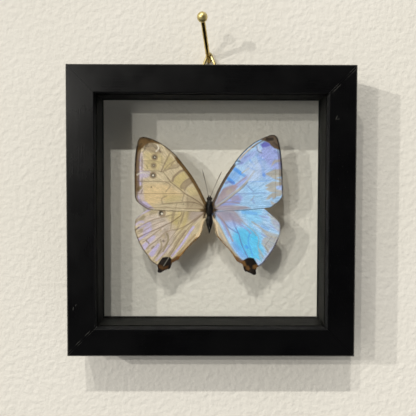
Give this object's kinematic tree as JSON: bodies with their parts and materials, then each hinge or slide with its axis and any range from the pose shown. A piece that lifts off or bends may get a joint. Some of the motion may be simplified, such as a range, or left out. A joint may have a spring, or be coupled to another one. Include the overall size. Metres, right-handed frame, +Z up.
{
  "type": "framed butterfly specimen",
  "caption": "Set butterfly floating between two panes of clear glass in a square black wooden box frame, hung by a brass triangle ring on its back.",
  "frame": {"origin": "middle of the bottom rail's flat underside", "axes": "+X to the right as seen from the front, +Y from the front of the frame to its back, +Z up"},
  "size_m": [0.15, 0.0283, 0.166],
  "materials": {
    "frame_black": "satin black paint on fine wood",
    "spacer_black": "matte black stain",
    "clear_glass": "clear, polished",
    "hanger_brass": "bright plated wire and sheet",
    "butterfly": "pearly wing scales, black hairy body",
    "glue": "clear, slightly yellow"
  },
  "bodies": {
    "frame": {"rail_bottom": "frame_black", "rail_left": "frame_black", "rail_top": "frame_black", "rail_right": "frame_black", "spacer_bottom": "spacer_black", "spacer_left": "spacer_black", "spacer_top": "spacer_black", "spacer_right": "spacer_black", "back_strip_bottom": "spacer_black", "back_strip_left": "spacer_black", "back_strip_top": "spacer_black", "back_strip_right": "spacer_black", "glass_front": "clear_glass", "glass_back": "clear_glass", "hanger_strap": "hanger_brass", "hanger_screw": "hanger_brass", "butterfly": "butterfly", "glue_dab": "glue"},
    "ring": {"hanger_ring": "hanger_brass"}
  },
  "joints": [
    {"name": "ring_swing", "type": "hinge", "parent": "frame", "child": "ring", "pos_m": [-0.001, 0.01415, 0.1489], "axis": [-1, 0, 0], "range_deg": [-14, 170]}
  ]
}
